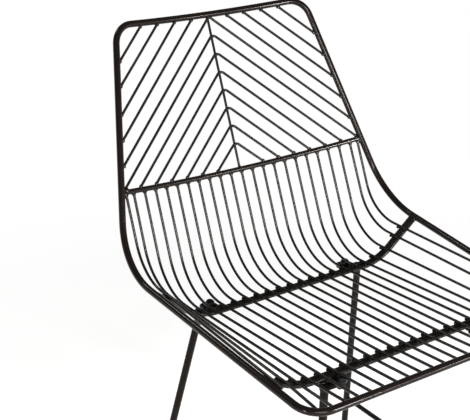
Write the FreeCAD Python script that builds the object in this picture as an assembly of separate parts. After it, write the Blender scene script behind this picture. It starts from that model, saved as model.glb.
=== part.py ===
import FreeCAD, Part
import math
import os

Vector = FreeCAD.Vector

# Wire chair, standing on the floor and facing -Y.
# Axes: X across, Y towards the back, Z up. Sizes are in millimetres.

# Stock of the welded pieces
frame_d = 10.0
crossbar_d = 8.0
rod_d = 7.0
wire_d = 4.0
wire_sides = 12
weld_bite = 0.05
leg_d = 11.0
stretcher_d = 8.0

# Back: a leaning panel measured from the crossbar up its slope
recline = math.radians(24.31)
crossbar_height = 571.0
crossbar_half = 222.2
crossbar_bow = 27.1
crossbar_dip = 5.0
back_length = 240.0
top_half = 169.8
top_bow = 19.7
top_corner_radius = 34.0
bow_straight_end = 31.0

# Waist and seat outline
waist_drop = 108.0
waist_radius = 110.0
seat_front = 460.9
front_height = 445.8
front_widening = 1.3
front_corner_radius = 33.0
hoop_joint_drop = 26.0

# Chevron wires of the back
top_outer_gap = 50.6
top_inner_past = 3.6
top_wires = 5
spine_top_gap = 30.4
spine_low = 42.0
spine_wires = 7
side_top_gap = 63.4
side_low = 30.2
side_wires = 5
cross_outer_gap = 3.0
cross_inner = 47.0
cross_wires = 7
apex_radius = 8.0

# Seat wires
seat_wires_per_side = 10
edge_wire_clearance = 0.5
edge_wire_gap = 13.6
wire_lean = math.radians(23.1)
middle_bend_radius = 91.8
edge_bend_radius = 74.3
wire_end_past = 2.0
edge_wire_end = 60.0

# Cross rods under the seat, in pairs
rear_rail_y = 117.7
rear_wire_height = 411.6
rear_rise_run = 73.2
rear_rod_radius = 89.5
rear_edge_gap = 24.4
front_rail_y = 372.6
front_rise_run = 52.7
front_rod_radius = 84.8
front_edge_gap = 11.8
rod_spacing = 7.6

# Seat brackets: flat plates welded under the rods, with the leg plates below them
plate_t = 3.0
plate_corner_cut = 5.0
bracket_grip = 2.0
leg_plate_gap = 0.2
leg_tab_rim = 1.0
rear_plate_inner_x = 117.0
rear_plate_outer_x = 141.0
rear_plate_reach = 45.0
rear_bolt_x = 127.5
rear_bolt_reach = 33.5
front_plate_inner_x = 109.0
front_plate_outer_x = 146.0
front_plate_reach = 18.5
front_bolt_x = 120.0
front_bolt_reach = 13.7

# Bolts with domed heads, and their nuts
bolt_d = 6.0
bolt_head_d = 12.5
bolt_head_h = 4.6
bolt_head_rim = 1.4
bolt_clearance = 0.3
bolt_end = 2.0
nut_flats = 10.0
nut_h = 5.0

# Legs: where each axis meets its plate and the floor
rear_leg_x = 149.6
rear_leg_reach = 26.2
rear_foot_x = 202.6
rear_foot_y = 13.7
front_leg_x = 144.8
front_leg_reach = 12.0
front_foot_x = 215.0
front_foot_y = 466.0
stretcher_height = 98.0

# Glides on the feet
glide_wall = 2.0
glide_base = 5.0
glide_h = 20.0


def panel(x, up, behind):
    """Point of the back: across, up its slope and behind its plane."""
    y = up * math.sin(recline) + behind * math.cos(recline)
    z = crossbar_height + up * math.cos(recline) - behind * math.sin(recline)
    return Vector(x, y, z)


def side_half(up):
    """Half width of the back between the axes of its two sides."""
    return crossbar_half + (top_half - crossbar_half) * up / back_length


def mirrored(shape):
    return shape.mirror(Vector(0, 0, 0), Vector(1, 0, 0))


def bent_path(points, radii):
    """Straight runs through the points, rounded at each inner one."""
    edges = []
    start = points[0]
    for before, corner, after, radius in zip(points, points[1:], points[2:], radii):
        arriving = (corner - before).normalize()
        leaving = (after - corner).normalize()
        half_turn = arriving.getAngle(leaving) / 2
        reach = radius * math.tan(half_turn)
        bulge = radius / math.cos(half_turn) - radius
        arc_start = corner - arriving * reach
        arc_end = corner + leaving * reach
        arc_middle = corner + (leaving - arriving).normalize() * bulge
        edges.append(Part.makeLine(start, arc_start))
        edges.append(Part.Arc(arc_start, arc_middle, arc_end).toShape())
        start = arc_end
    edges.append(Part.makeLine(start, points[-1]))
    return Part.Wire(edges)


def round_bar(points, radii, diameter):
    """Round bar bent along a path."""
    path = bent_path(points, radii)
    ring = Part.makeCircle(diameter / 2, points[0], points[1] - points[0])
    return path.makePipeShell([Part.Wire(ring)], True, False)


def wire_bar(points, radii, width, facing):
    """Thin bar along a path, with flats on its section that keep the many wires light.

    One flat looks along facing, and all lie as far out as the round wire would.
    """
    heading = (points[1] - points[0]).normalize()
    side = heading.cross(facing).normalize()
    front = side.cross(heading)
    corner_r = width / 2 / math.cos(math.pi / wire_sides)
    ring = []
    for number in range(wire_sides + 1):
        turn = math.pi * (2 * number + 1) / wire_sides
        ring.append(points[0] + (front * math.cos(turn) + side * math.sin(turn)) * corner_r)
    path = bent_path(points, radii)
    return path.makePipeShell([Part.makePolygon(ring)], True, False)


def butted(bar, seat, along, towards, seat_d):
    """Bar cut off flat where it is welded on another one.

    The other bar's axis passes through seat along the given direction. The end
    touches its skin with a hair of bite, and nothing more is taken off.
    """
    across = towards - along * (towards.dot(along) / along.dot(along))
    size = 3 * seat_d
    block = Part.makeBox(size, size, size, Vector(-size / 2, -size / 2, weld_bite - seat_d / 2))
    block.Placement = FreeCAD.Placement(seat, FreeCAD.Rotation(Vector(0, 0, 1), across))
    return bar.cut(block)


class Bow:
    """Bar of the back that is bowed away: a short straight at each end and one arc."""

    def __init__(self, up, half, depth, dip):
        self.up = up
        self.half = half
        self.tilt = math.atan2(dip, depth)
        self.depth = math.hypot(depth, dip)
        self.angle = 2 * math.atan(self.depth / (half + bow_straight_end))
        self.radius = (half / math.cos(self.angle) - bow_straight_end) / math.tan(self.angle)

    def point(self, x, away):
        """Point of the bow's own plane, away from the line through its ends."""
        return panel(x, self.up - away * math.sin(self.tilt), away * math.cos(self.tilt))

    def at(self, x):
        """Axis of the bar."""
        if abs(x) > self.radius * math.sin(self.angle):
            return self.point(x, (self.half - abs(x)) * math.tan(self.angle))
        return self.point(x, self.depth - self.radius + math.sqrt(self.radius ** 2 - x ** 2))

    def along(self, x):
        """Direction of the bar."""
        turn = min(math.asin(min(abs(x) / self.radius, 1)), self.angle)
        fall = -math.tan(turn) if x > 0 else math.tan(turn)
        return self.point(1, fall) - self.point(0, 0)

    def points(self):
        middle = self.point(0, self.half * math.tan(self.angle))
        return [self.point(-self.half, 0), middle, self.point(self.half, 0)]


waist_bow = Bow(0, crossbar_half, crossbar_bow, crossbar_dip)
top_bow_line = Bow(back_length, top_half, top_bow, 0)

# Corners of the two hoops, on the right
front_half = crossbar_half + front_widening
waist_corner = panel(side_half(-waist_drop), -waist_drop, 0)
front_corner = Vector(front_half, -seat_front, front_height)
hoop_joint = panel(side_half(-hoop_joint_drop), -hoop_joint_drop, 0)
top_corner = panel(top_half, back_length, 0)
back_side = top_corner - hoop_joint
seat_side = front_corner - waist_corner


def left(point):
    return Vector(-point.x, point.y, point.z)


def side_tube(y):
    """Axis point of the seat hoop's straight side at a depth y."""
    return waist_corner + seat_side * ((y - waist_corner.y) / seat_side.y)


def make_back_hoop():
    points = [left(hoop_joint)] + top_bow_line.points() + [hoop_joint]
    return round_bar(points, [top_corner_radius, top_bow_line.radius, top_corner_radius], frame_d)


def make_seat_hoop():
    points = [left(hoop_joint), left(waist_corner), left(front_corner)]
    points += [front_corner, waist_corner, hoop_joint]
    radii = [waist_radius, front_corner_radius, front_corner_radius, waist_radius]
    return round_bar(points, radii, frame_d)


def make_crossbar():
    bar = round_bar(waist_bow.points(), [waist_bow.radius], crossbar_d)
    right_end = waist_bow.at(crossbar_half)
    outwards = Vector(1, 0, 0)
    bar = butted(bar, right_end, back_side, outwards, frame_d)
    return butted(bar, left(right_end), left(back_side), -outwards, frame_d)


def straight(start, end, diameter):
    return Part.makeCylinder(diameter / 2, (end - start).Length, start, end - start)


panel_normal = panel(0, 0, 1) - panel(0, 0, 0)
panel_up = panel(0, 1, 0) - panel(0, 0, 0)
spine_behind = wire_d - weld_bite


def make_spine(bars):
    """Straight wire on the back of the chevrons, coped round the bars at its ends."""
    low_grip = math.sqrt((crossbar_d / 2) ** 2 - min(spine_behind, crossbar_d / 2) ** 2)
    high_grip = math.sqrt((frame_d / 2) ** 2 - min(spine_behind, frame_d / 2) ** 2)
    low = waist_bow.at(0) + panel_normal * spine_behind + panel_up * low_grip
    high = top_bow_line.at(0) + panel_normal * spine_behind - panel_up * high_grip
    return straight(low, high, wire_d).cut(bars)


def between(first, last, share):
    return first + (last - first) * share


def make_chevrons():
    """Wires butt-welded between the bars: pairs at the top, bent ones on the spine."""
    starts = []
    for number in range(top_wires):
        x = between(top_half - top_outer_gap, -top_inner_past, number / (top_wires - 1))
        starts.append(top_bow_line.at(x))
    middle_low = waist_bow.at(0)
    middle_rise = top_bow_line.at(0) - middle_low
    for number in range(spine_wires):
        up = between(back_length - spine_top_gap, spine_low, number / (spine_wires - 1))
        starts.append(middle_low + middle_rise * (up / back_length))
    seats = []
    for number in range(side_wires):
        up = between(back_length - side_top_gap, side_low, number / (side_wires - 1))
        seats.append((panel(side_half(up), up, 0), back_side, frame_d))
    for number in range(cross_wires):
        x = between(crossbar_half - cross_outer_gap, cross_inner, number / (cross_wires - 1))
        seats.append((waist_bow.at(x), waist_bow.along(x), crossbar_d))
    left_half = Part.makeBox(top_half, seat_front, back_length, panel(-top_half, back_length / 2, -seat_front / 2))
    chevrons = []
    for number, (start, (end, along, seat_d)) in enumerate(zip(starts, seats)):
        down = end - start
        if number < top_wires:
            wire = wire_bar([start, end], [], wire_d, panel_normal)
            wire = butted(wire, start, top_bow_line.along(start.x), -down, frame_d)
            wire = butted(wire, end, along, down, seat_d).cut(left_half)
            chevrons.append(Part.makeCompound([wire, mirrored(wire)]))
            continue
        wire = wire_bar([left(end), start, end], [apex_radius], wire_d, panel_normal)
        for side in (1, -1):
            flip = (lambda point: point) if side > 0 else left
            wire = butted(wire, flip(end), flip(along), flip(down), seat_d)
            if end.x + seat_d > crossbar_half:
                wire = butted(wire, flip(waist_bow.at(crossbar_half)), flip(back_side), Vector(side, 0, 0), frame_d)
        chevrons.append(wire)
    return chevrons


under_front_bar = front_height - (frame_d + wire_d) / 2 + weld_bite
seat_slope = (under_front_bar - rear_wire_height) / (rear_rail_y - seat_front)


def seat_height(y):
    """Height of the middle wires' axes: they lie on the rear rods and under the front bar."""
    return rear_wire_height + seat_slope * (y + rear_rail_y)


class Rail:
    """Pair of cross rods: flat under the middle wires, bent up to the side tubes."""

    def __init__(self, y, outward, rise_run, bend_radius, edge_gap):
        tube = side_tube(y)
        self.y = y
        self.outward = outward
        self.wire_height = seat_height(y)
        self.corner_half = tube.x - rise_run
        self.bend_radius = bend_radius
        self.lift = (wire_d + rod_d) / 2 - weld_bite
        self.level = self.wire_height - self.lift
        self.slope = math.atan2(tube.z - self.level, rise_run)
        self.edge_wire_x = tube.x - edge_gap

    def wire_centre(self, x):
        """Height of a wire's axis where it lies across the rods."""
        flat_half = self.corner_half - self.bend_radius * math.tan(self.slope / 2)
        radius = self.bend_radius - self.lift
        across = abs(x) - flat_half
        if across <= 0:
            return self.wire_height
        arc_across = radius * math.sin(self.slope)
        if across <= arc_across:
            return self.wire_height + radius - math.sqrt(radius ** 2 - across ** 2)
        arc_rise = radius * (1 - math.cos(self.slope))
        return self.wire_height + arc_rise + (across - arc_across) * math.tan(self.slope)


rear_rail = Rail(-rear_rail_y, 1, rear_rise_run, rear_rod_radius, rear_edge_gap)
front_rail = Rail(-front_rail_y, -1, front_rise_run, front_rod_radius, front_edge_gap)


def make_rod(rail, step):
    """One cross rod of a rail, step forwards or backwards of its middle."""
    y = rail.y + step
    tube = side_tube(y)
    corner = Vector(rail.corner_half, y, rail.level + seat_slope * step)
    points = [left(tube), left(corner), corner, tube]
    rod = wire_bar(points, [rail.bend_radius, rail.bend_radius], rod_d, Vector(0, 0, 1))
    rod = butted(rod, tube, seat_side, tube - corner, frame_d)
    return butted(rod, left(tube), left(seat_side), left(tube - corner), frame_d)


outer_wire_x = crossbar_half - (frame_d + wire_d) / 2 - edge_wire_clearance
wire_pitch = (outer_wire_x - edge_wire_gap) / seat_wires_per_side


def front_reach(x):
    """Depth y of the seat hoop's axis at its front, with the rounded corner."""
    flat_half = front_half - front_corner_radius
    across = abs(x) - flat_half
    if across <= 0:
        return -seat_front
    drop = front_corner_radius - math.sqrt(max(front_corner_radius ** 2 - across ** 2, 0))
    return -seat_front + drop


def on_rail(x, rail):
    """Wire axis across a rail, where the wires spread with the outermost one."""
    rail_x = rail.edge_wire_x * x / outer_wire_x
    return Vector(rail_x, rail.y, rail.wire_centre(rail_x))


def bend_corner(start, rear, front):
    """Where the run down from the crossbar meets the line of the seat."""
    along = front - rear
    fall = Vector(0, -math.sin(wire_lean), -math.cos(wire_lean))
    gap = start - rear
    crossing = gap.y * fall.z - gap.z * fall.y
    share = crossing / (along.y * fall.z - along.z * fall.y)
    return rear + along * share


def make_seat_wire(x, outermost):
    start = waist_bow.at(x)
    rear = on_rail(x, rear_rail)
    front = on_rail(x, front_rail)
    if outermost:
        tube = side_tube(-seat_front + edge_wire_end)
        aside = ((frame_d + wire_d) / 2 - weld_bite) * math.sqrt(0.5)
        end = tube + Vector(-aside, 0, aside)
        front = end
    else:
        share = (front_reach(front.x) - wire_end_past - rear.y) / (front.y - rear.y)
        end = rear + (front - rear) * share
    corner = bend_corner(start, rear, front)
    radius = middle_bend_radius + (edge_bend_radius - middle_bend_radius) * abs(x) / crossbar_half
    wire = wire_bar([start, corner, end], [radius], wire_d, Vector(0, -1, 0))
    return butted(wire, start, waist_bow.along(x), start - corner, crossbar_d)


# Brackets: heights here are measured from the plane of a rail's two rod axes,
# which is tilted with the seat, and reaches outwards from the middle of the rail
bracket_top = -rod_d / 2
leg_plate_top = bracket_top - plate_t
leg_top = leg_plate_top - plate_t


def rail_frame(rail):
    tilt = math.degrees(math.atan(seat_slope))
    return FreeCAD.Placement(Vector(0, rail.y, rail.level), FreeCAD.Rotation(Vector(1, 0, 0), tilt))


def placed(shape, rail):
    shape.Placement = rail_frame(rail).multiply(shape.Placement)
    return shape


def make_plate(rail, inner_x, outer_x, near, reach, under, bolt_x, bolt_reach):
    """Flat plate with a bolt hole, and cut corners on its side away from the rods."""
    low, high = sorted((rail.outward * near, rail.outward * reach))
    plate = Part.makeBox(outer_x - inner_x, high - low, plate_t, Vector(inner_x, low, under))
    upright = [edge for edge in plate.Edges if abs(edge.tangentAt(edge.FirstParameter).z) > 0.5]
    corners = [edge for edge in upright if edge.CenterOfMass.y * rail.outward > (near + reach) / 2]
    plate = plate.makeChamfer(plate_corner_cut, corners)
    middle = Vector(bolt_x, rail.outward * bolt_reach, under)
    return plate.cut(Part.makeCylinder(bolt_d / 2 + bolt_clearance, plate_t, middle))


def make_tab(leg, outer_x):
    """Round end of a leg plate over the top of its leg."""
    radius = leg_d / 2 + leg_tab_rim
    y = leg.rail.outward * leg.reach
    neck_x = outer_x - radius
    neck = Part.makeBox(leg.top_x - neck_x, 2 * radius, plate_t, Vector(neck_x, y - radius, leg_top))
    return neck.fuse(Part.makeCylinder(radius, plate_t, Vector(leg.top_x, y, leg_top)))


def make_bolt(rail, bolt_x, bolt_reach):
    """Crowned head on the bracket and a shank down through both plates and the nut."""
    head_r = bolt_head_d / 2
    shank_r = bolt_d / 2
    end = leg_top - bracket_top - nut_h - bolt_end
    outline = [Vector(0, 0, end), Vector(shank_r, 0, end), Vector(shank_r, 0, 0), Vector(head_r, 0, 0)]
    outline += [Vector(head_r, 0, bolt_head_rim), Vector(shank_r, 0, bolt_head_h), Vector(0, 0, bolt_head_h)]
    bolt = Part.Face(Part.makePolygon(outline + outline[:1])).revolve(Vector(0, 0, 0), Vector(0, 0, 1), 360)
    bolt.translate(Vector(bolt_x, rail.outward * bolt_reach, bracket_top))
    return placed(bolt, rail)


def make_nut(rail, bolt_x, bolt_reach):
    corner_r = nut_flats / math.sqrt(3)
    ring = [Vector(corner_r * math.cos(a), corner_r * math.sin(a), 0) for a in hexagon]
    nut = Part.Face(Part.makePolygon(ring)).extrude(Vector(0, 0, -nut_h))
    nut = nut.cut(Part.makeCylinder(bolt_d / 2, nut_h, Vector(0, 0, -nut_h)))
    nut.translate(Vector(bolt_x, rail.outward * bolt_reach, leg_top))
    return placed(nut, rail)


hexagon = [math.radians(60 * corner) for corner in range(7)]


class Leg:
    """Straight leg from the underside of its plate down to its foot."""

    def __init__(self, rail, top_x, reach, foot_x, foot_y):
        self.rail = rail
        self.top_x = top_x
        self.reach = reach
        self.top = rail_frame(rail).multVec(Vector(top_x, rail.outward * reach, leg_top))
        self.foot = Vector(foot_x, -foot_y, 0)
        self.axis = (self.top - self.foot).normalize()

    def at(self, height):
        return self.foot + self.axis * (height / self.axis.z)

    def make(self):
        """The bar is cut level with the plate and stands in its glide."""
        bar = straight(self.foot + self.axis * glide_base, self.top + self.axis * leg_d, leg_d)
        size = 2 * self.top.x
        above = Part.makeBox(size, size, size, Vector(0, -size / 2, leg_top))
        return bar.cut(placed(above, self.rail))

    def make_glide(self):
        """Cap round the end of the leg, flat on the floor."""
        outer = leg_d / 2 + glide_wall
        cap = Part.makeCylinder(outer, glide_h + outer, Vector(0, 0, -outer))
        rim = [edge for edge in cap.Edges if edge.Vertexes[0].Z > 0 and edge.Vertexes[-1].Z > 0]
        cap = cap.makeChamfer(glide_wall / 2, rim)
        cap = cap.cut(Part.makeCylinder(leg_d / 2, glide_h, Vector(0, 0, glide_base)))
        cap.Placement = FreeCAD.Placement(self.foot, FreeCAD.Rotation(Vector(0, 0, 1), self.axis))
        below = Part.makeBox(4 * outer, 4 * outer, 2 * outer, self.foot - Vector(2 * outer, 2 * outer, 2 * outer))
        return cap.cut(below)


rear_leg = Leg(rear_rail, rear_leg_x, rear_leg_reach, rear_foot_x, rear_foot_y)
front_leg = Leg(front_rail, front_leg_x, front_leg_reach, front_foot_x, front_foot_y)


def add_pair(name, shape):
    """The chair is the same on both sides."""
    parts[name + "_right"] = shape
    parts[name + "_left"] = mirrored(shape)


parts = {}
back_hoop = make_back_hoop()
crossbar = make_crossbar()
parts["back_hoop"] = back_hoop
parts["seat_hoop"] = make_seat_hoop()
parts["waist_crossbar"] = crossbar
parts["back_spine"] = make_spine([back_hoop, crossbar])
for number, chevron in enumerate(make_chevrons(), 1):
    parts["chevron_wire_%02d" % number] = chevron

for rail, name in ((rear_rail, "rear"), (front_rail, "front")):
    parts[name + "_rod_back"] = make_rod(rail, rod_spacing / 2)
    parts[name + "_rod_fore"] = make_rod(rail, -rod_spacing / 2)

parts["seat_wire_00"] = make_seat_wire(0, False)
for number in range(1, seat_wires_per_side + 2):
    outermost = number > seat_wires_per_side
    wire = make_seat_wire(outer_wire_x if outermost else number * wire_pitch, outermost)
    parts["seat_wire_%02d" % number] = Part.makeCompound([wire, mirrored(wire)])

bolts = []
nuts = []
bracket_near = rod_spacing / 2 - bracket_grip
leg_plate_near = rod_spacing / 2 + rod_d / 2 + leg_plate_gap
rear_plates = (rear_plate_inner_x, rear_plate_outer_x, rear_plate_reach)
front_plates = (front_plate_inner_x, front_plate_outer_x, front_plate_reach)
for leg, name, plates, bolt_x, bolt_reach in (
    (rear_leg, "rear", rear_plates, rear_bolt_x, rear_bolt_reach),
    (front_leg, "front", front_plates, front_bolt_x, front_bolt_reach),
):
    rail = leg.rail
    inner_x, outer_x, reach = plates
    bracket = make_plate(rail, inner_x, outer_x, bracket_near, reach, leg_plate_top, bolt_x, bolt_reach)
    leg_plate = make_plate(rail, inner_x, outer_x, leg_plate_near, reach, leg_top, bolt_x, bolt_reach)
    leg_plate = leg_plate.fuse(make_tab(leg, outer_x)).removeSplitter()
    add_pair(name + "_bracket", placed(bracket, rail))
    add_pair(name + "_leg_plate", placed(leg_plate, rail))
    add_pair(name + "_leg", leg.make())
    add_pair(name + "_glide", leg.make_glide())
    bolt = make_bolt(rail, bolt_x, bolt_reach)
    nut = make_nut(rail, bolt_x, bolt_reach)
    bolts += [bolt, mirrored(bolt)]
    nuts += [nut, mirrored(nut)]
parts["leg_bolts"] = Part.makeCompound(bolts)
parts["leg_nuts"] = Part.makeCompound(nuts)

ends = rear_leg.at(stretcher_height), front_leg.at(stretcher_height)
stretcher = straight(ends[0], ends[1], stretcher_d)
stretcher = butted(stretcher, ends[0], rear_leg.axis, ends[0] - ends[1], leg_d)
stretcher = butted(stretcher, ends[1], front_leg.axis, ends[1] - ends[0], leg_d)
add_pair("side_stretcher", stretcher)

# The origin is on the floor under the middle of the whole chair
whole = Part.makeCompound(list(parts.values())).optimalBoundingBox(False, False)
to_origin = Vector(0, -(whole.YMin + whole.YMax) / 2, 0)
os.makedirs("parts", exist_ok=True)
for name, shape in parts.items():
    shape.translate(to_origin)
    shape.exportStep("parts/%s.step" % name)
    print(name, len(shape.Solids), round(shape.Volume, 1), shape.isValid())
print(len(parts), "nodes, moved", to_origin.y, "size", whole.XLength, whole.YLength, whole.ZLength, whole.ZMin)
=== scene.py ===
import math
import bmesh
import bpy
from mathutils import Matrix, Vector


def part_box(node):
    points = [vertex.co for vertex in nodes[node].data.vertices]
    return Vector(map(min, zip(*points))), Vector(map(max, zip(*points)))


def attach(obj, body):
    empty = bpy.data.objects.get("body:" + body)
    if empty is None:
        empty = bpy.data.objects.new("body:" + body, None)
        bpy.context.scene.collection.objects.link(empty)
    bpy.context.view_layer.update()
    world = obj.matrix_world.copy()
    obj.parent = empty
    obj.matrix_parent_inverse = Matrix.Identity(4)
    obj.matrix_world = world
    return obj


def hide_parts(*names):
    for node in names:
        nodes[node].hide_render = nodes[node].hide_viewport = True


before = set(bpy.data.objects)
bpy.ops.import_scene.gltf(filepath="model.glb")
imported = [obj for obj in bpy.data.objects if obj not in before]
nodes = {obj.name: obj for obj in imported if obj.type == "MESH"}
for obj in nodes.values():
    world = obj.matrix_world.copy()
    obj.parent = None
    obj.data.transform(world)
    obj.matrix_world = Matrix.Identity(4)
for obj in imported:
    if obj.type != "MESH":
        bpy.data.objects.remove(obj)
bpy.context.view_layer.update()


# Photograph's viewpoint: a long lens in front of the chair and to the left, above the
# seat, with the back and most of the seat in the picture. Left and right are meant as
# one sees them from the front, here and in the names of the pieces.
lens = bpy.data.cameras.new("photo_lens")
lens.sensor_width = 36.0
lens.lens = 82.893
lens.clip_end = 30.0
camera = bpy.data.objects.new("photo_camera", lens)
camera.location = (-0.88002, -1.12366, 1.15754)
camera.rotation_euler = (math.radians(67.05), 0.0, math.radians(-33.30))
bpy.context.scene.collection.objects.link(camera)
bpy.context.scene.camera = camera
bpy.context.scene.view_settings.view_transform = "Standard"


# Studio: soft light all round, white to the camera and through the chair. A gloss shows
# the same white round the horizon, and above it the studio's dark ceiling.
def put(tree, value, socket):
    """Link a socket to another one, or set it to a number or colour."""
    if isinstance(value, bpy.types.NodeSocket):
        tree.links.new(value, socket)
    else:
        socket.default_value = value


def calc(tree, operation, first, second=0.0):
    """Outcome of a sum on two sockets or numbers, in a shader or geometry tree."""
    node = tree.nodes.new("ShaderNodeMath")
    node.operation = operation
    put(tree, first, node.inputs[0])
    put(tree, second, node.inputs[1])
    return node.outputs[0]


def remap(tree, value, low, high, to_low, to_high, way="LINEAR"):
    """Value that goes from to_low to to_high while the given one goes from low to high."""
    node = tree.nodes.new("ShaderNodeMapRange")
    node.interpolation_type = way
    put(tree, value, node.inputs["Value"])
    put(tree, low, node.inputs["From Min"])
    put(tree, high, node.inputs["From Max"])
    put(tree, to_low, node.inputs["To Min"])
    put(tree, to_high, node.inputs["To Max"])
    return node.outputs["Result"]


def seen_white(tree, shaded, white, also=None):
    """Mix that lights the chair with one shader and shows the other to the eye.

    The camera sees white only in the share that "also" gives, or everywhere.
    """
    path = tree.nodes.new("ShaderNodeLightPath")
    share = path.outputs["Is Camera Ray"]
    if also is not None:
        share = calc(tree, "MULTIPLY", share, also)
    for kind in ("Is Glossy Ray", "Is Transmission Ray"):
        share = calc(tree, "MAXIMUM", share, path.outputs[kind])
    mix = tree.nodes.new("ShaderNodeMixShader")
    tree.links.new(share, mix.inputs[0])
    tree.links.new(shaded.outputs[0], mix.inputs[1])
    tree.links.new(white.outputs[0], mix.inputs[2])
    return mix


soft_colour = (1.0, 0.995, 0.985, 1.0)
soft_strength = 0.42
backdrop_white = (1.0, 1.0, 1.0, 1.0)
ceiling_from = 0.26  # sine of 15 degrees above the horizon
ceiling_strength = 0.08
world = bpy.data.worlds.new("studio_light")
bpy.context.scene.world = world
world.use_nodes = True
sky = world.node_tree
soft = sky.nodes["Background"]
soft.inputs["Color"].default_value = soft_colour
soft.inputs["Strength"].default_value = soft_strength
white = sky.nodes.new("ShaderNodeBackground")
white.inputs["Color"].default_value = backdrop_white
heading = sky.nodes.new("ShaderNodeTexCoord")
climb = sky.nodes.new("ShaderNodeSeparateXYZ")
sky.links.new(heading.outputs["Generated"], climb.inputs[0])
brightness = remap(sky, climb.outputs["Z"], 0.0, ceiling_from, 1.0, ceiling_strength, "SMOOTHSTEP")
glance = sky.nodes.new("ShaderNodeLightPath")
for kind in ("Is Camera Ray", "Is Transmission Ray"):
    brightness = calc(sky, "MAXIMUM", brightness, glance.outputs[kind])
sky.links.new(brightness, white.inputs["Strength"])
sky.links.new(seen_white(sky, soft, white).outputs[0], sky.nodes["World Output"].inputs["Surface"])


# Studio floor: matt white paper. Near the chair it keeps the chair's soft shadow, and
# farther out it fades into the white of the backdrop.
floor_half = 9.0
paper_colour = (0.93, 0.93, 0.925, 1.0)
paper_roughness = 0.9
paper_lift = 0.32
fade_starts = 0.45
fade_ends = 1.5
floor_corners = [(x * floor_half, y * floor_half, 0.0) for x, y in ((-1, -1), (1, -1), (1, 1), (-1, 1))]
floor_mesh = bpy.data.meshes.new("studio_floor")
floor_mesh.from_pydata(floor_corners, [], [(0, 1, 2, 3)])
floor = bpy.data.objects.new("studio_floor", floor_mesh)
bpy.context.scene.collection.objects.link(floor)
paper = bpy.data.materials.new("studio_paper")
paper.use_nodes = True
sheet = paper.node_tree
matt = sheet.nodes["Principled BSDF"]
matt.inputs["Base Color"].default_value = paper_colour
matt.inputs["Roughness"].default_value = paper_roughness
spot = sheet.nodes.new("ShaderNodeTexCoord")
reach = sheet.nodes.new("ShaderNodeVectorMath")
reach.operation = "LENGTH"
sheet.links.new(spot.outputs["Object"], reach.inputs[0])
fade = remap(sheet, reach.outputs["Value"], fade_starts, fade_ends, 0.0, 1.0, "SMOOTHSTEP")
glimpse = sheet.nodes.new("ShaderNodeLightPath")
lift = calc(sheet, "MULTIPLY", glimpse.outputs["Is Camera Ray"], paper_lift)
bleach = sheet.nodes.new("ShaderNodeEmission")
sheet.links.new(lift, bleach.inputs["Strength"])
lit = sheet.nodes.new("ShaderNodeAddShader")
sheet.links.new(matt.outputs[0], lit.inputs[0])
sheet.links.new(bleach.outputs[0], lit.inputs[1])
blank = sheet.nodes.new("ShaderNodeEmission")
blank.inputs["Strength"].default_value = 1.0
shown = seen_white(sheet, lit, blank, also=fade)
sheet.links.new(shown.outputs[0], sheet.nodes["Material Output"].inputs["Surface"])
floor_mesh.materials.append(paper)


# Softboxes: one high behind the chair for the form, and four strips in front of it and
# at its sides that draw the thin bright lines along the bars, as in the photograph.
def softbox(name, place, aim, width, height, watts):
    """Rectangular lamp that looks at a point of the chair."""
    lamp = bpy.data.lights.new(name, "AREA")
    lamp.shape = "RECTANGLE"
    lamp.size = width
    lamp.size_y = height
    lamp.energy = watts
    holder = bpy.data.objects.new(name, lamp)
    holder.location = place
    holder.rotation_euler = (Vector(place) - Vector(aim)).to_track_quat("Z", "Y").to_euler()
    holder.visible_camera = False
    bpy.context.scene.collection.objects.link(holder)


softbox("high_softbox", place=(-0.78, 1.54, 2.28), aim=(0.0, -0.1, 0.42),
        width=0.35, height=0.35, watts=6.0)
softbox("front_strip", place=(0.72, -1.83, 0.69), aim=(0.12, 0.28, 0.79),
        width=0.20, height=0.24, watts=26.0)
softbox("left_strip", place=(-1.91, -0.86, 0.72), aim=(0.2, 0.23, 0.68),
        width=0.06, height=1.0, watts=9.0)
softbox("waist_strip", place=(-0.55, -1.85, 1.20), aim=(0.0, 0.12, 0.52),
        width=1.1, height=0.14, watts=27.0)
softbox("right_strip", place=(1.34, -1.765, 0.81), aim=(0.05, -0.285, 0.446),
        width=0.20, height=0.36, watts=10.0)


# Powder coat: a baked polyester skin, near black with a warm cast, on every welded
# piece. It has a fine orange peel, thin spots that shine more, fine scuffs, and a
# little dust on what faces up.
def noise(tree, place, scale, detail):
    """Cloudy pattern over the piece's own coordinates, from 0 to 1."""
    node = tree.nodes.new("ShaderNodeTexNoise")
    tree.links.new(place, node.inputs["Vector"])
    put(tree, scale, node.inputs["Scale"])
    put(tree, detail, node.inputs["Detail"])
    return node.outputs["Fac"]


def mix_colours(tree, amount, first, second):
    """First colour where the amount is 0, and second where it is 1."""
    node = tree.nodes.new("ShaderNodeMix")
    node.data_type = "RGBA"
    put(tree, amount, node.inputs["Factor"])
    put(tree, first, node.inputs["A"])
    put(tree, second, node.inputs["B"])
    return node.outputs["Result"]


def bumped(tree, height, strength, distance):
    """Normal of a skin with a fine relief."""
    node = tree.nodes.new("ShaderNodeBump")
    put(tree, height, node.inputs["Height"])
    put(tree, strength, node.inputs["Strength"])
    put(tree, distance, node.inputs["Distance"])
    return node.outputs["Normal"]


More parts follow.
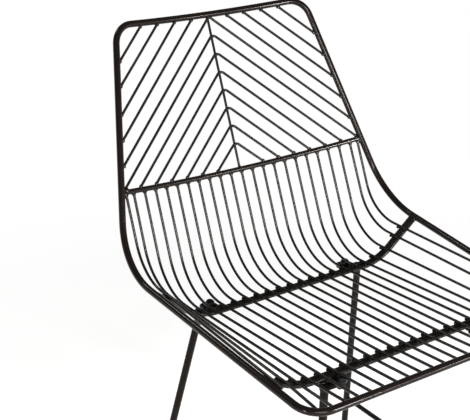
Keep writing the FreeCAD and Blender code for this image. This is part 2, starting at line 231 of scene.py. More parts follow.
def powder_coat_group():
    """Shader group of the coat, which puts out its colour, roughness and normal."""
    group = bpy.data.node_groups.new("powder_coat", "ShaderNodeTree")
    for label, kind, value in (
        ("Colour", "NodeSocketColor", (0.014, 0.011, 0.0095, 1.0)),
        ("Rubbed Colour", "NodeSocketColor", (0.03, 0.026, 0.022, 1.0)),
        ("Dust Colour", "NodeSocketColor", (0.30, 0.28, 0.26, 1.0)),
        ("Roughness", "NodeSocketFloat", 0.36),
        ("Peel Scale", "NodeSocketFloat", 700.0),
        ("Peel Depth", "NodeSocketFloat", 0.05),
        ("Rub", "NodeSocketFloat", 0.5),
        ("Dust", "NodeSocketFloat", 0.05),
    ):
        group.interface.new_socket(label, in_out="INPUT", socket_type=kind).default_value = value
    for label, kind in (
        ("Colour", "NodeSocketColor"),
        ("Roughness", "NodeSocketFloat"),
        ("Normal", "NodeSocketVector"),
    ):
        group.interface.new_socket(label, in_out="OUTPUT", socket_type=kind)
    given = group.nodes.new("NodeGroupInput").outputs
    result = group.nodes.new("NodeGroupOutput").inputs
    place = group.nodes.new("ShaderNodeTexCoord").outputs["Object"]
    facing = group.nodes.new("ShaderNodeNewGeometry").outputs["Normal"]
    turned = group.nodes.new("ShaderNodeSeparateXYZ")
    group.links.new(facing, turned.inputs[0])

    # Rubbed: broad thin patches, and fine scuffs
    thin = remap(group, noise(group, place, scale=38.0, detail=4.0), 0.48, 0.72, 0.0, 1.0)
    scuffs = remap(group, noise(group, place, scale=650.0, detail=3.0), 0.60, 0.74, 0.0, 0.35)
    worn = calc(group, "MAXIMUM", thin, scuffs)
    rubbed = calc(group, "MULTIPLY", worn, given["Rub"])

    # Dust: specks on what faces up
    upwards = remap(group, turned.outputs["Z"], 0.5, 1.0, 0.0, 1.0)
    specks = remap(group, noise(group, place, scale=420.0, detail=2.0), 0.46, 0.62, 0.2, 1.0)
    lying = calc(group, "MULTIPLY", upwards, specks)
    dust = calc(group, "MULTIPLY", lying, given["Dust"])
    coat = mix_colours(group, rubbed, given["Colour"], given["Rubbed Colour"])
    group.links.new(mix_colours(group, dust, coat, given["Dust Colour"]), result["Colour"])

    # Shine: rubbed spots are smoother, and dusty ones rougher
    rubbed_polish = -0.08
    dust_roughness = 0.8
    uneven = remap(group, noise(group, place, scale=160.0, detail=3.0), 0.3, 0.7, -0.025, 0.025)
    skin = calc(group, "ADD", uneven, calc(group, "MULTIPLY", rubbed, rubbed_polish))
    rough = calc(group, "ADD", given["Roughness"], skin)
    dusty = calc(group, "MULTIPLY", dust, dust_roughness)
    group.links.new(calc(group, "ADD", rough, dusty), result["Roughness"])

    # Orange peel, 0.12 mm high at full depth
    peel_height = 0.00012
    peel = noise(group, place, scale=given["Peel Scale"], detail=2.0)
    group.links.new(bumped(group, peel, given["Peel Depth"], peel_height), result["Normal"])
    return group


powder_coat = powder_coat_group()
warm_shine = (1.0, 0.93, 0.88, 1.0)


def coated(name, colour, rubbed, roughness, shine, **values):
    """Material of one kind of coated piece; shine is the gloss of the skin."""
    material = bpy.data.materials.new(name)
    material.use_nodes = True
    tree = material.node_tree
    bsdf = tree.nodes["Principled BSDF"]
    skin = tree.nodes.new("ShaderNodeGroup")
    skin.node_tree = powder_coat
    skin.inputs["Colour"].default_value = (*colour, 1.0)
    skin.inputs["Rubbed Colour"].default_value = (*rubbed, 1.0)
    skin.inputs["Roughness"].default_value = roughness
    for label, value in values.items():
        skin.inputs[label.replace("_", " ")].default_value = value
    for output, socket in (("Colour", "Base Color"), ("Roughness", "Roughness"), ("Normal", "Normal")):
        tree.links.new(skin.outputs[output], bsdf.inputs[socket])
    bsdf.inputs["Specular IOR Level"].default_value = shine
    bsdf.inputs["Specular Tint"].default_value = warm_shine
    return material


def give_finish(material, *names):
    """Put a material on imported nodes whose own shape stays."""
    for name in names:
        mesh = nodes[name].data
        mesh.materials.clear()
        mesh.materials.append(material)


# Hoops: 10 mm steel bar, one hoop round the back and one round the seat, bent cold and
# butt-welded to each other below the crossbar. The thick bars took the coat evenly.
hoop_coat = coated("hoop_coat", colour=(0.009, 0.0065, 0.0055), rubbed=(0.020, 0.015, 0.012),
                   roughness=0.18, shine=0.23, Rub=0.12, Dust=0.0, Peel_Depth=0.01)
give_finish(hoop_coat, "back_hoop", "seat_hoop")


# Crossbar: 8 mm bar between the sides at the waist, bowed backwards, with the tops of
# the seat wires and the feet of the back wires welded to it.
crossbar_coat = coated("crossbar_coat", colour=(0.010, 0.0075, 0.0065), rubbed=(0.022, 0.017, 0.014),
                       roughness=0.19, shine=0.30, Rub=0.3, Dust=0.01, Peel_Depth=0.02)
give_finish(crossbar_coat, "waist_crossbar")


# Wires of the back: 4 mm drawn wire, cut and bent over the spine by hand. The packed
# wires have flats, so each gets a twin with a round skin in the very same place.
same_place = 1e-6
sharp_angle = math.radians(50.0)


def merge_points(work):
    """Merge doubled points, and drop the faces left inside where two parts meet."""
    bmesh.ops.remove_doubles(work, verts=work.verts, dist=same_place)
    joint = {point for edge in work.edges if len(edge.link_faces) > 2 for point in edge.verts}
    inside = [face for face in work.faces if all(point in joint for point in face.verts)]
    bmesh.ops.delete(work, geom=inside, context="FACES_ONLY")


def shade_round(work):
    """Shade every face round, up to the sharp edges."""
    for face in work.faces:
        face.smooth = True
    for edge in work.edges:
        edge.smooth = len(edge.link_faces) == 2 and edge.calc_face_angle() < sharp_angle


def rounded_twin(name, material):
    """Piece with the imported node's own shape, merged and shaded round."""
    mesh = nodes[name].data.copy()
    mesh.name = name + "_round"
    mesh.materials.clear()
    mesh.materials.append(material)
    work = bmesh.new()
    work.from_mesh(mesh)
    merge_points(work)
    shade_round(work)
    work.to_mesh(mesh)
    work.free()
    if "custom_normal" in mesh.attributes:
        mesh.attributes.remove(mesh.attributes["custom_normal"])
    twin = bpy.data.objects.new(mesh.name, mesh)
    bpy.context.scene.collection.objects.link(twin)
    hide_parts(name)
    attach(twin, "root")
    return twin


back_wire_coat = coated("back_wire_coat", colour=(0.011, 0.009, 0.008), rubbed=(0.024, 0.020, 0.018),
                        roughness=0.24, shine=0.24, Rub=0.4, Dust=0.01)
chevron_names = sorted(name for name in nodes if name.startswith("chevron_wire_"))
# The two outer wires at the top left were set by hand a little flatter than the rest:
# their lower ends sit this much higher on the side bar, and the upper ends farther out.
raised_end = {"chevron_wire_01": 0.0042, "chevron_wire_02": 0.0046}
side_bar_lean = (0.23, 0.45)
top_end_out = 0.0014


def as_set(name, point):
    """Where a point of a back wire lies once the wire is set by hand."""
    if name not in raised_end or point.x > 0.0:
        return point
    low_end, high_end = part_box(name)
    share = (high_end.z - point.z) / (high_end.z - low_end.z)
    rise = raised_end[name] * share
    aside = side_bar_lean[0] * rise - top_end_out * (1 - share)
    return point + Vector((aside, side_bar_lean[1] * rise, rise))


for name in chevron_names + ["back_spine"]:
    twin = rounded_twin(name, back_wire_coat)
    for point in twin.data.vertices:
        point.co = as_set(name, point.co)


# Wires of the seat: 23 of the same wire, bent at the waist and laid side by side from
# the crossbar to the front bar. Sitting has polished their tops a little.
seat_wire_coat = coated("seat_wire_coat", colour=(0.008, 0.0065, 0.006), rubbed=(0.018, 0.015, 0.014),
                        roughness=0.23, shine=0.32, Rub=0.5, Dust=0.005)
seat_wire_names = sorted(name for name in nodes if name.startswith("seat_wire_"))
front_bar_radius = 0.005
foremost_skin = 0.0005
bar_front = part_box("seat_hoop")[0].y
hoop_points = [point.co for point in nodes["seat_hoop"].data.vertices]
foremost = [point.z for point in hoop_points if point.y < bar_front + foremost_skin]
bar_axis = Vector((0.0, bar_front + front_bar_radius, sum(foremost) / len(foremost)))

# Ends of the inner wires: bent up from the front rods on, so that they lie in the crook
# behind and below the front bar, where they aren't seen
ahead_of_rod = 0.002
end_behind = 0.0056
end_below = 0.0054
press_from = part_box("front_rod_fore")[0].y - ahead_of_rod
pressed_end = Vector((0.0, bar_axis.y + end_behind, bar_axis.z - end_below))
outer_pair = seat_wire_names[-1]
for name in seat_wire_names:
    twin = rounded_twin(name, seat_wire_coat)
    if name == outer_pair:
        continue
    work = bmesh.new()
    work.from_mesh(twin.data)
    whole = work.verts[:] + work.edges[:] + work.faces[:]
    bmesh.ops.bisect_plane(work, geom=whole, plane_co=(0.0, press_from, 0.0), plane_no=(0.0, 1.0, 0.0))
    end_points = [point for point in work.verts if point.co.y < press_from - ahead_of_rod / 2]
    end = sum((point.co for point in end_points), Vector()) / len(end_points)
    for point in end_points:
        point.co += Vector((0.0, pressed_end.y - end.y, pressed_end.z - end.z))
    work.to_mesh(twin.data)
    work.free()


# Cross rods: two 7 mm rods side by side under the rear of the seat and two under its
# front, bent up to the side bars. The wires are welded across them.
rod_coat = coated("rod_coat", colour=(0.007, 0.0055, 0.005), rubbed=(0.020, 0.017, 0.015),
                  roughness=0.24, shine=0.22, Rub=0.5, Dust=0.01)
rod_names = ["rear_rod_back", "rear_rod_fore", "front_rod_back", "front_rod_fore"]
for name in rod_names:
    rounded_twin(name, rod_coat)


# Welds: small deposits of steel under the coat, wherever a wire or rod meets another.
# Butted ends have a hollow fillet round them, and crossings a bead in the crook.
def shells(name):
    """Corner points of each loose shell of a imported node."""
    work = bmesh.new()
    work.from_mesh(nodes[name].data)
    bmesh.ops.remove_doubles(work, verts=work.verts, dist=same_place)
    found, seen = [], set()
    for first in work.verts:
        if first in seen:
            continue
        seen.add(first)
        shell, waiting = [], [first]
        while waiting:
            point = waiting.pop()
            shell.append(point.co.copy())
            for edge in point.link_edges:
                other = edge.other_vert(point)
                if other not in seen:
                    seen.add(other)
                    waiting.append(other)
        found.append(shell)
    work.free()
    return found


def end_of(shell, heading, near=0.008):
    """Middle of a bar's end: the points close to the one farthest along the heading."""
    tip = max(shell, key=lambda point: point.dot(Vector(heading)))
    close = [point for point in shell if (point - tip).length < near]
    return sum(close, Vector()) / len(close)


def turned_to(along, away):
    """Turn that lays x along the bar and z away from it."""
    z = Vector(away).normalized()
    x = (Vector(along) - z * z.dot(Vector(along))).normalized()
    return Matrix((x, z.cross(x), z)).transposed().to_euler()


def run_of(places, number):
    """Direction of the bar that carries a row of welds, at one of them."""
    return places[min(number + 1, len(places) - 1)] - places[max(number - 1, 0)]


def weld_tree(name, shape):
    """Geometry tree that sets one weld shape on every place, each a little different."""
    tree = bpy.data.node_groups.new(name, "GeometryNodeTree")
    tree.is_modifier = True
    tree.interface.new_socket("Geometry", in_out="INPUT", socket_type="NodeSocketGeometry")
    tree.interface.new_socket("Geometry", in_out="OUTPUT", socket_type="NodeSocketGeometry")
    for label, kind, value in (
        ("Segments", "NodeSocketInt", 10),
        ("Rings", "NodeSocketInt", 6),
        ("Foot Along", "NodeSocketFloat", 1.2),
        ("Foot Across", "NodeSocketFloat", 0.35),
        ("Foot Sink", "NodeSocketFloat", 0.3),
        ("Size Spread", "NodeSocketFloat", 0.14),
        ("Unevenness", "NodeSocketFloat", 0.0006),
        ("Lump Scale", "NodeSocketFloat", 260.0),
        ("Seed", "NodeSocketInt", 7),
    ):
        tree.interface.new_socket(label, in_out="INPUT", socket_type=kind).default_value = value
    add, link = tree.nodes.new, tree.links.new
    given, result = add("NodeGroupInput").outputs, add("NodeGroupOutput").inputs

    def stored(label):
        """Turn or half sizes that were kept with each place."""
        node = add("GeometryNodeInputNamedAttribute")
        node.data_type = "FLOAT_VECTOR"
        node.inputs["Name"].default_value = label
        return node.outputs[0]

    # Sizes of each weld differ a little in all three directions
    low = calc(tree, "SUBTRACT", 1.0, given["Size Spread"])
    high = calc(tree, "ADD", 1.0, given["Size Spread"])
    vary = add("ShaderNodeCombineXYZ")
    for number, socket in enumerate(vary.inputs):
        draw = add("FunctionNodeRandomValue")
        draw.data_type = "FLOAT"
        link(low, draw.inputs[2])
        link(high, draw.inputs[3])
        link(calc(tree, "ADD", given["Seed"], number), draw.inputs["Seed"])
        link(draw.outputs[1], socket)
    size = add("ShaderNodeVectorMath")
    size.operation = "MULTIPLY"
    link(stored("half"), size.inputs[0])
    link(vary.outputs[0], size.inputs[1])
    turn = add("FunctionNodeEulerToRotation")
    link(stored("turn"), turn.inputs[0])
    place = add("GeometryNodeInstanceOnPoints")
    link(given["Geometry"], place.inputs["Points"])
    link(shape(tree, given), place.inputs["Instance"])
    link(turn.outputs[0], place.inputs["Rotation"])
    link(size.outputs[0], place.inputs["Scale"])
    real = add("GeometryNodeRealizeInstances")
    link(place.outputs[0], real.inputs[0])

    # The skin is lumpy, as run metal is
    lumps = add("ShaderNodeTexNoise")
    lumps.noise_dimensions = "4D"
    link(given["Lump Scale"], lumps.inputs["Scale"])
    link(given["Seed"], lumps.inputs["W"])
    swell = calc(tree, "MULTIPLY", calc(tree, "SUBTRACT", lumps.outputs["Fac"], 0.5), given["Unevenness"])
    push = add("ShaderNodeVectorMath")
    push.operation = "SCALE"
    link(add("GeometryNodeInputNormal").outputs[0], push.inputs[0])
    link(swell, push.inputs["Scale"])
    rough = add("GeometryNodeSetPosition")
    link(real.outputs[0], rough.inputs["Geometry"])
    link(push.outputs[0], rough.inputs["Offset"])
    smooth = add("GeometryNodeSetShadeSmooth")
    link(rough.outputs[0], smooth.inputs["Geometry"])
    coat = add("GeometryNodeSetMaterial")
    link(smooth.outputs[0], coat.inputs["Geometry"])
    coat.inputs["Material"].default_value = weld_coat
    link(coat.outputs[0], result["Geometry"])
    return tree


def drop_shape(tree, given):
    """Bead: a ball, squeezed by the half sizes of its place."""
    ball = tree.nodes.new("GeometryNodeMeshUVSphere")
    ball.inputs["Radius"].default_value = 1.0
    tree.links.new(given["Segments"], ball.inputs["Segments"])
    tree.links.new(given["Rings"], ball.inputs["Rings"])
    return ball.outputs["Mesh"]


def hollow_shape(tree, given):
    """Fillet: a sleeve round the bar's end that opens out towards the other bar."""
    add, link = tree.nodes.new, tree.links.new
    hollowness = 2.4
    sleeve = add("GeometryNodeMeshCylinder")
    sleeve.inputs["Radius"].default_value = 1.0
    sleeve.inputs["Depth"].default_value = 1.0
    link(given["Segments"], sleeve.inputs["Vertices"])
    link(given["Rings"], sleeve.inputs["Side Segments"])
    parts = add("ShaderNodeSeparateXYZ")
    link(add("GeometryNodeInputPosition").outputs[0], parts.inputs[0])
    rise = calc(tree, "ADD", parts.outputs["Z"], 0.5)
    opening = calc(tree, "POWER", calc(tree, "SUBTRACT", 1.0, rise), hollowness)
    joined = add("ShaderNodeCombineXYZ")
    for number, (side, foot) in enumerate((("X", "Foot Along"), ("Y", "Foot Across"))):
        widening = calc(tree, "ADD", 1.0, calc(tree, "MULTIPLY", opening, given[foot]))
        link(calc(tree, "MULTIPLY", parts.outputs[side], widening), joined.inputs[number])
    link(calc(tree, "SUBTRACT", rise, given["Foot Sink"]), joined.inputs[2])
    shaped = add("GeometryNodeSetPosition")
    link(sleeve.outputs["Mesh"], shaped.inputs["Geometry"])
    link(joined.outputs[0], shaped.inputs["Position"])
    return shaped.outputs[0]


def repeated(name, tree, places, slot, **sizes):
    """Plain mesh of a geometry tree: each place has a point, a turn and three half sizes."""
    seeds = bpy.data.meshes.new(name)
    seeds.from_pydata([tuple(point) for point, turn, half in places], [], [])
    for label, column in (("turn", 1), ("half", 2)):
        values = seeds.attributes.new(label, "FLOAT_VECTOR", "POINT")
        values.data.foreach_set("vector", [number for place in places for number in place[column]])
    piece = bpy.data.objects.new(name, seeds)
    bpy.context.scene.collection.objects.link(piece)
    maker = piece.modifiers.new("maker", "NODES")
    maker.node_group = tree
    sockets = {item.name: item.identifier for item in tree.interface.items_tree if item.in_out == "INPUT"}
    for label, value in sizes.items():
        maker[sockets[label.replace("_", " ")]] = value
    graph = bpy.context.evaluated_depsgraph_get()
    plain = bpy.data.meshes.new_from_object(piece.evaluated_get(graph), depsgraph=graph)
    plain.name = name
    piece.modifiers.remove(maker)
    piece.data = plain
    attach(piece, "root")
    return piece


weld_coat = coated("weld_coat", colour=(0.007, 0.0055, 0.005), rubbed=(0.020, 0.017, 0.015),
                   roughness=0.20, shine=0.36, Rub=0.3, Dust=0.01, Peel_Scale=420.0, Peel_Depth=0.3)
bead_tree = weld_tree("weld_bead", drop_shape)
fillet_tree = weld_tree("butt_fillet", hollow_shape)
level = (0.0, 0.0, 0.0)
beads = []


def bead(place, turn, half):
    """Note a bead: its half sizes go along the bar, across it and away from it."""
    beads.append((place, turn, half))


# Back wires: ends on the top bar, on the two sides and on the crossbar, and the spine.
# The two wires of the fifth row meet at the top and count as one bent wire here.
behind = Vector((0.0, 0.911, -0.412))
apex_width = 0.003
apex_half = (0.0032, 0.0024, 0.0016)
apex_behind = 0.002
top_row, right_row, left_row, low_row = [], [], [], []
for name in chevron_names:
    wires = shells(name)
    for shell in wires:
        if len(wires) == 2:
            side = 1.0 if shell[0].x > 0 else -1.0
            top = as_set(name, end_of(shell, (0, 0, 1)))
            low = as_set(name, end_of(shell, (side, 0, -0.3)))
            top_row.append((top, low - top))
            (right_row if side > 0 else left_row).append((low, top - low))
        else:
            apex = [point for point in shell if abs(point.x) < apex_width]
            middle = sum(apex, Vector()) / len(apex)
            bead(middle + behind * apex_behind, turned_to((1, 0, 0), behind), apex_half)
            for side in (1.0, -1.0):
                low = end_of(shell, (side, 0, -0.3))
                low_row.append((low, middle - low))
spine = shells("back_spine")[0]
spine_top = end_of(spine, (0, 0, 1))
spine_foot = end_of(spine, (0, 0, -1))
top_row.append((spine_top, spine_foot - spine_top))
low_row.append((spine_foot, spine_top - spine_foot))
for row in (top_row, low_row):
    row.sort(key=lambda weld: weld[0].x)
for row in (right_row, left_row):
    row.sort(key=lambda weld: weld[0].z)
bead_lift = 0.0008
bead_width = 0.0026
bead_height = 0.0030
for row, length in ((top_row, 0.0036), (low_row, 0.0037), (right_row, 0.0034), (left_row, 0.0034)):
    places = [place for place, away in row]
    for number, (place, away) in enumerate(row):
        bar = run_of(places, number)
        square = away - bar * (away.dot(bar) / bar.dot(bar))
        middle = place + away.normalized() * bead_lift
        bead(middle, turned_to(bar, square), (length, bead_width, bead_height))

# Crossbar's own ends, on the sides, and a lump in each corner above them
crossbar_end = 0.006
end_half = (0.0060, 0.0046, 0.0036)
corner_half = (0.0048, 0.0036, 0.0042)
corner_up = 0.0046
corner_in = 0.0034
side_run = right_row[-1][0] - right_row[0][0]
for side in (1.0, -1.0):
    end = end_of(shells("waist_crossbar")[0], (side, 0, 0), crossbar_end)
    run = Vector((side * side_run.x, side_run.y, side_run.z))
    bead(end, turned_to(run, (-side, 0, 0)), end_half)
    corner = end + run.normalized() * corner_up + Vector((-side * corner_in, 0.0, 0.0))
    bead(corner, turned_to(run, (-side, 0, 0)), corner_half)

# Seat wires: fillets round their tops, under the crossbar
wire_corners = 12
top_reach = 0.01
fillet_half = (0.00206, 0.00206, 0.0058)
seat_tops, seat_lines, seat_fillets = [], [], []
for name in seat_wire_names:
    for shell in shells(name):
        top = end_of(shell, (0, 0.2, 1))
        below = [point for point in shell if (point - top).length > top_reach]
        knee = min(below, key=lambda point: (point - top).length)
        seat_tops.append((top, Vector((top.x, knee.y, knee.z)) - top))
        by_depth = sorted(shell, key=lambda point: point.y)
        fore = sum(by_depth[:wire_corners], Vector()) / wire_corners
        rear = sum(by_depth[wire_corners:2 * wire_corners], Vector()) / wire_corners
        seat_lines.append((fore, rear))
seat_tops.sort(key=lambda weld: weld[0].x)
seat_lines.sort(key=lambda line: line[0].x)
places = [top for top, down in seat_tops]
for number, (top, down) in enumerate(seat_tops):
    seat_fillets.append((top, turned_to(run_of(places, number), down), fillet_half))

# Crossings: a bead in both crooks of every wire on every rod, and a web behind. The
# rods' own ends are welded to the side bars.
crook_half = (0.0013, 0.0028, 0.0013)
crook_beside = 0.0023
crook_below = 0.0021
web_half = (0.0036, 0.0024, 0.0018)
web_shift = Vector((-0.0026, 0.0038, -0.0024))
web_turn = (0.3, 0.0, 0.75)
rod_end_half = (0.0048, 0.0036, 0.0030)
for name in rod_names:
    low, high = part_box(name)
    rod_y = (low.y + high.y) / 2
    for fore, rear in seat_lines:
        crossing = fore + (rear - fore) * ((rod_y - fore.y) / (rear.y - fore.y))
        for aside in (-crook_beside, crook_beside):
            bead(crossing + Vector((aside, 0.0, -crook_below)), level, crook_half)
        if name.endswith("_rod_back"):
            bead(crossing + web_shift, web_turn, web_half)
    for side in (1.0, -1.0):
        end = end_of(shells(name)[0], (side, 0, 0))
        bead(end, turned_to((0, 1, 0), (-side, 0, -0.6)), rod_end_half)

# Front ends: in the crook behind the front bar, and along the bar for the outer pair
front_half = (0.0026, 0.0024, 0.0024)
front_behind = 0.0046
front_below = 0.0044
outer_half = (0.0018, 0.0075, 0.0018)
outer_back = Vector((0.0, 0.006, 0.0))
outer_aside = 0.0016
for number, (fore, rear) in enumerate(seat_lines):
    if 0 < number < len(seat_lines) - 1:
        crook = Vector((fore.x, bar_axis.y + front_behind, bar_axis.z - front_below))
        bead(crook, level, front_half)
    else:
        tip = fore + outer_back + Vector((math.copysign(outer_aside, fore.x), 0.0, -outer_aside))
        bead(tip, level, outer_half)

# Brackets: a seam in the crook between each plate and the rod that it is welded under
seam_beads = 5
seam_beside = 0.0034
front_seam_drop = 0.001
seam_share = 0.14
seam_width = 0.0018
seam_height = 0.0015
for name in ("rear_bracket_right", "rear_bracket_left", "front_bracket_right", "front_bracket_left"):
    rear = name.startswith("rear")
    low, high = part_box(name)
    rods = [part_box(rod) for rod in rod_names if rod.startswith(name.split("_")[0])]
    centres = [(rod_low.y + rod_high.y) / 2 for rod_low, rod_high in rods]
    seam_y = max(centres) + seam_beside if rear else min(centres) - seam_beside
    seam_z = high.z - (0.0 if rear else front_seam_drop)
    middle = Vector(((low.x + high.x) / 2, seam_y, seam_z))
    for number in range(seam_beads):
        share = (number - (seam_beads - 1) / 2) / seam_beads
        shift = Vector(((high.x - low.x) * share, 0.0, 0.0))
        bead(middle + shift, level, ((high.x - low.x) * seam_share, seam_width, seam_height))

# Legs under their plates, and the stretchers between them
leg_end = 0.013
leg_fillet_half = (0.0056, 0.0056, 0.0045)
stretcher_end = 0.010
stretcher_half = (0.0050, 0.0050, 0.0024)
leg_fillets = []
for name in ("rear_leg_right", "rear_leg_left", "front_leg_right", "front_leg_left"):
    leg = shells(name)[0]
    head = end_of(leg, (0, 0, 1), leg_end)
    foot = end_of(leg, (0, 0, -1), leg_end)
    leg_fillets.append((head, turned_to((1, 0, 0), foot - head), leg_fillet_half))
for name in ("side_stretcher_right", "side_stretcher_left"):
    rod = shells(name)[0]
    ends = [end_of(rod, heading, stretcher_end) for heading in ((0, 1, 0), (0, -1, 0))]
    for end, other in (ends, ends[::-1]):
        bead(end, turned_to((0, 0, 1), other - end), stretcher_half)

repeated("weld_beads", bead_tree, beads, "frame_coating", Segments=10, Rings=6, Unevenness=0.0007)
repeated("seat_wire_fillets", fillet_tree, seat_fillets, "frame_coating",
         Segments=12, Rings=6, Foot_Along=2.3, Foot_Across=0.45, Foot_Sink=0.2, Size_Spread=0.06)
repeated("leg_fillets", fillet_tree, leg_fillets, "frame_coating",
         Segments=24, Rings=6, Foot_Along=0.16, Foot_Across=0.16, Foot_Sink=0.05, Size_Spread=0.02)


# Brackets and leg plates: 3 mm steel plate, sheared and drilled, with the sharp edges
# knocked off before coating. Their coat is painted darker all over than the frame's,
# as painted shade for the shade that falls under the seat.
def eased_twin(name, material, ease):
    """Round-shaded twin of a packed plate or nut with its sharp edges eased."""
    twin = rounded_twin(name, material)
    edge = twin.modifiers.new("eased_edges", "BEVEL")
    edge.width = ease
    edge.segments = 2
    edge.limit_method = "ANGLE"
    edge.angle_limit = sharp_angle
    return twin


plate_ease = 0.0005
# Painted shade: the plates' colour is darker than the other coats, standing in for the shade under the
# seat.
plate_coat_painted_shade = coated("plate_coat_painted_shade", colour=(0.005, 0.004, 0.0035), rubbed=(0.010, 0.008, 0.007),
                    roughness=0.24, shine=0.05, Rub=0.4, Dust=0.0)
for name in sorted(name for name in nodes if "bracket" in name or "leg_plate" in name):
    eased_twin(name, plate_coat_painted_shade, plate_ease)


# Legs and side stretchers: straight steel bar, coated as separate pieces and in a
# slightly browner batch than the seat.
leg_coat = coated("leg_coat", colour=(0.010, 0.0075, 0.0064), rubbed=(0.019, 0.015, 0.0125),
                  roughness=0.30, shine=0.08, Rub=0.5, Dust=0.005)
give_finish(leg_coat, "rear_leg_right", "rear_leg_left", "front_leg_right", "front_leg_left")
give_finish(leg_coat, "side_stretcher_right", "side_stretcher_left")


# Bolts: 6 mm steel with a domed head, blackened, one through each bracket and leg plate.
# The heads are the blackest and smoothest spots of the chair.
oiled_shine = 0.16


def blackened(name, colours, roughness):
    """Oiled black steel, stained between two colours and two roughnesses, finely pitted."""
    material = bpy.data.materials.new(name)
    material.use_nodes = True
    tree = material.node_tree
    bsdf = tree.nodes["Principled BSDF"]
    place = tree.nodes.new("ShaderNodeTexCoord").outputs["Object"]
    darker, paler = [(*colour, 1.0) for colour in colours]
    stain = noise(tree, place, scale=230.0, detail=4.0)
    tree.links.new(mix_colours(tree, stain, darker, paler), bsdf.inputs["Base Color"])
    grain = noise(tree, place, scale=520.0, detail=4.0)
    tree.links.new(remap(tree, grain, 0.0, 1.0, *roughness), bsdf.inputs["Roughness"])
    pits = noise(tree, place, scale=1400.0, detail=2.0)
    tree.links.new(bumped(tree, pits, strength=0.3, distance=0.00008), bsdf.inputs["Normal"])
    bsdf.inputs["Specular IOR Level"].default_value = oiled_shine
    return material


bolt_black = blackened("bolt_black", ((0.003, 0.003, 0.003), (0.008, 0.0075, 0.0075)), (0.20, 0.32))


def bolt_tree():
    """Geometry tree of a bolt: a domed head on a rim, and its shank below."""
    tree = bpy.data.node_groups.new("domed_bolt", "GeometryNodeTree")
    tree.is_modifier = True
    tree.interface.new_socket("Geometry", in_out="INPUT", socket_type="NodeSocketGeometry")
    tree.interface.new_socket("Geometry", in_out="OUTPUT", socket_type="NodeSocketGeometry")
    for label, kind, value in (
        ("Head Radius", "NodeSocketFloat", 0.00625),
        ("Head Height", "NodeSocketFloat", 0.0046),
        ("Rim Height", "NodeSocketFloat", 0.0014),
        ("Shank Radius", "NodeSocketFloat", 0.003),
        ("Shank Length", "NodeSocketFloat", 0.013),
        ("Segments", "NodeSocketInt", 40),
    ):
        tree.interface.new_socket(label, in_out="INPUT", socket_type=kind).default_value = value
    add, link = tree.nodes.new, tree.links.new
    given, result = add("NodeGroupInput").outputs, add("NodeGroupOutput").inputs

    def turned(radius, rings, shape):
        """Turned part: a cylinder whose rings go where shape puts them, from 0 to 1."""
        blank = add("GeometryNodeMeshCylinder")
        blank.inputs["Radius"].default_value = 1.0
        blank.inputs["Depth"].default_value = 1.0
        blank.inputs["Side Segments"].default_value = rings
        link(given["Segments"], blank.inputs["Vertices"])
        parts = add("ShaderNodeSeparateXYZ")
        link(add("GeometryNodeInputPosition").outputs[0], parts.inputs[0])
        share = calc(tree, "ADD", parts.outputs["Z"], 0.5)
        scale, height = shape(share)
        wide = calc(tree, "MULTIPLY", radius, scale)
        joined = add("ShaderNodeCombineXYZ")
        link(calc(tree, "MULTIPLY", parts.outputs["X"], wide), joined.inputs[0])
        link(calc(tree, "MULTIPLY", parts.outputs["Y"], wide), joined.inputs[1])
        link(height, joined.inputs[2])
        shaped = add("GeometryNodeSetPosition")
        link(blank.outputs["Mesh"], shaped.inputs["Geometry"])
        link(joined.outputs[0], shaped.inputs["Position"])
        return shaped.outputs[0]

    def dome(share):
        """Full round dome with a small flat left at its crown."""
        crown, fullness = 0.97, 0.38
        angle = calc(tree, "MULTIPLY", share, crown * math.pi / 2)
        tall = calc(tree, "SUBTRACT", given["Head Height"], given["Rim Height"])
        rise = calc(tree, "MULTIPLY", calc(tree, "SINE", angle), tall)
        scale = calc(tree, "POWER", calc(tree, "COSINE", angle), fullness)
        return scale, calc(tree, "ADD", rise, given["Rim Height"])

    def rim(share):
        """Low rim, drawn in a little at its foot."""
        foot, swell = 0.955, 0.045
        curve = calc(tree, "SINE", calc(tree, "MULTIPLY", share, math.pi / 2))
        scale = calc(tree, "ADD", foot, calc(tree, "MULTIPLY", curve, swell))
        return scale, calc(tree, "MULTIPLY", share, given["Rim Height"])

    def shank(share):
        """Plain shank, down from the rim."""
        drop = calc(tree, "SUBTRACT", share, 1.0)
        return 1.0, calc(tree, "MULTIPLY", drop, given["Shank Length"])

    whole = add("GeometryNodeJoinGeometry")
    for part in (
        turned(given["Head Radius"], 7, dome),
        turned(given["Head Radius"], 3, rim),
        turned(given["Shank Radius"], 1, shank),
    ):
        link(part, whole.inputs[0])
    stored = add("GeometryNodeInputNamedAttribute")
    stored.data_type = "FLOAT_VECTOR"
    stored.inputs["Name"].default_value = "turn"
    turn = add("FunctionNodeEulerToRotation")
    link(stored.outputs[0], turn.inputs[0])
    place = add("GeometryNodeInstanceOnPoints")
    link(given["Geometry"], place.inputs["Points"])
    link(whole.outputs[0], place.inputs["Instance"])
    link(turn.outputs[0], place.inputs["Rotation"])
    real = add("GeometryNodeRealizeInstances")
    link(place.outputs[0], real.inputs[0])
    coat = add("GeometryNodeSetMaterial")
    link(real.outputs[0], coat.inputs["Geometry"])
    coat.inputs["Material"].default_value = bolt_black
    link(coat.outputs[0], result["Geometry"])
    return tree


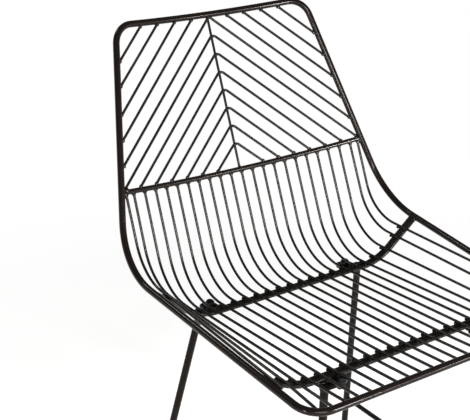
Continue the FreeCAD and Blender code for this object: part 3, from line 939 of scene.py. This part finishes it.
packed_head_height = 0.0046
head_height = 0.0084
head_radius = 0.0073
bolt_end = 0.0035
bolt_places = []
for shell in shells("leg_bolts"):
    top = end_of(shell, (0, 0, 1), bolt_end)
    end = end_of(shell, (0, 0, -1), bolt_end)
    shank_length = (top - end).length - packed_head_height
    axis = (top - end).normalized()
    bolt_places.append((top - axis * packed_head_height, turned_to((1, 0, 0), axis), (1.0, 1.0, 1.0)))
bolts = repeated("domed_bolts", bolt_tree(), bolt_places, "fastener_black",
                 Head_Radius=head_radius, Head_Height=head_height, Shank_Length=shank_length)
work = bmesh.new()
work.from_mesh(bolts.data)
merge_points(work)
shade_round(work)
work.to_mesh(bolts.data)
work.free()
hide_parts("leg_bolts")


# Nuts: plain hexagon steel nuts, 10 mm across flats, run up the bolts until they clamp
# the leg plates from below. They are of the same black steel, a little duller.
nut_ease = 0.0004
nut_black = blackened("nut_black", ((0.012, 0.0115, 0.0115), (0.03, 0.028, 0.027)), (0.34, 0.5))
nuts = eased_twin("leg_nuts", nut_black, nut_ease)


# Glides: moulded black plastic caps on the feet, matt, with a fine pebbled skin and
# scuffs towards the floor.
fresh_plastic = (0.012, 0.012, 0.0125, 1.0)
scuffed_plastic = (0.06, 0.058, 0.055, 1.0)
scuffs_up_to = 0.006
glide_plastic = bpy.data.materials.new("glide_plastic")
glide_plastic.use_nodes = True
moulding = glide_plastic.node_tree
moulded = moulding.nodes["Principled BSDF"]
place = moulding.nodes.new("ShaderNodeTexCoord").outputs["Object"]
height = moulding.nodes.new("ShaderNodeSeparateXYZ")
moulding.links.new(place, height.inputs[0])
cloud = noise(moulding, place, scale=180.0, detail=4.0)
worn = remap(moulding, height.outputs["Z"], 0.0, scuffs_up_to, 1.0, 0.15)
scuffed = calc(moulding, "MULTIPLY", worn, cloud)
tint = mix_colours(moulding, scuffed, fresh_plastic, scuffed_plastic)
moulding.links.new(tint, moulded.inputs["Base Color"])
moulding.links.new(remap(moulding, cloud, 0.0, 1.0, 0.48, 0.72), moulded.inputs["Roughness"])
pebbles = moulding.nodes.new("ShaderNodeTexVoronoi")
pebbles.inputs["Scale"].default_value = 1500.0
moulding.links.new(place, pebbles.inputs["Vector"])
pebbled = bumped(moulding, pebbles.outputs["Distance"], strength=0.35, distance=0.0001)
moulding.links.new(pebbled, moulded.inputs["Normal"])
give_finish(glide_plastic, *[name for name in nodes if "glide" in name])
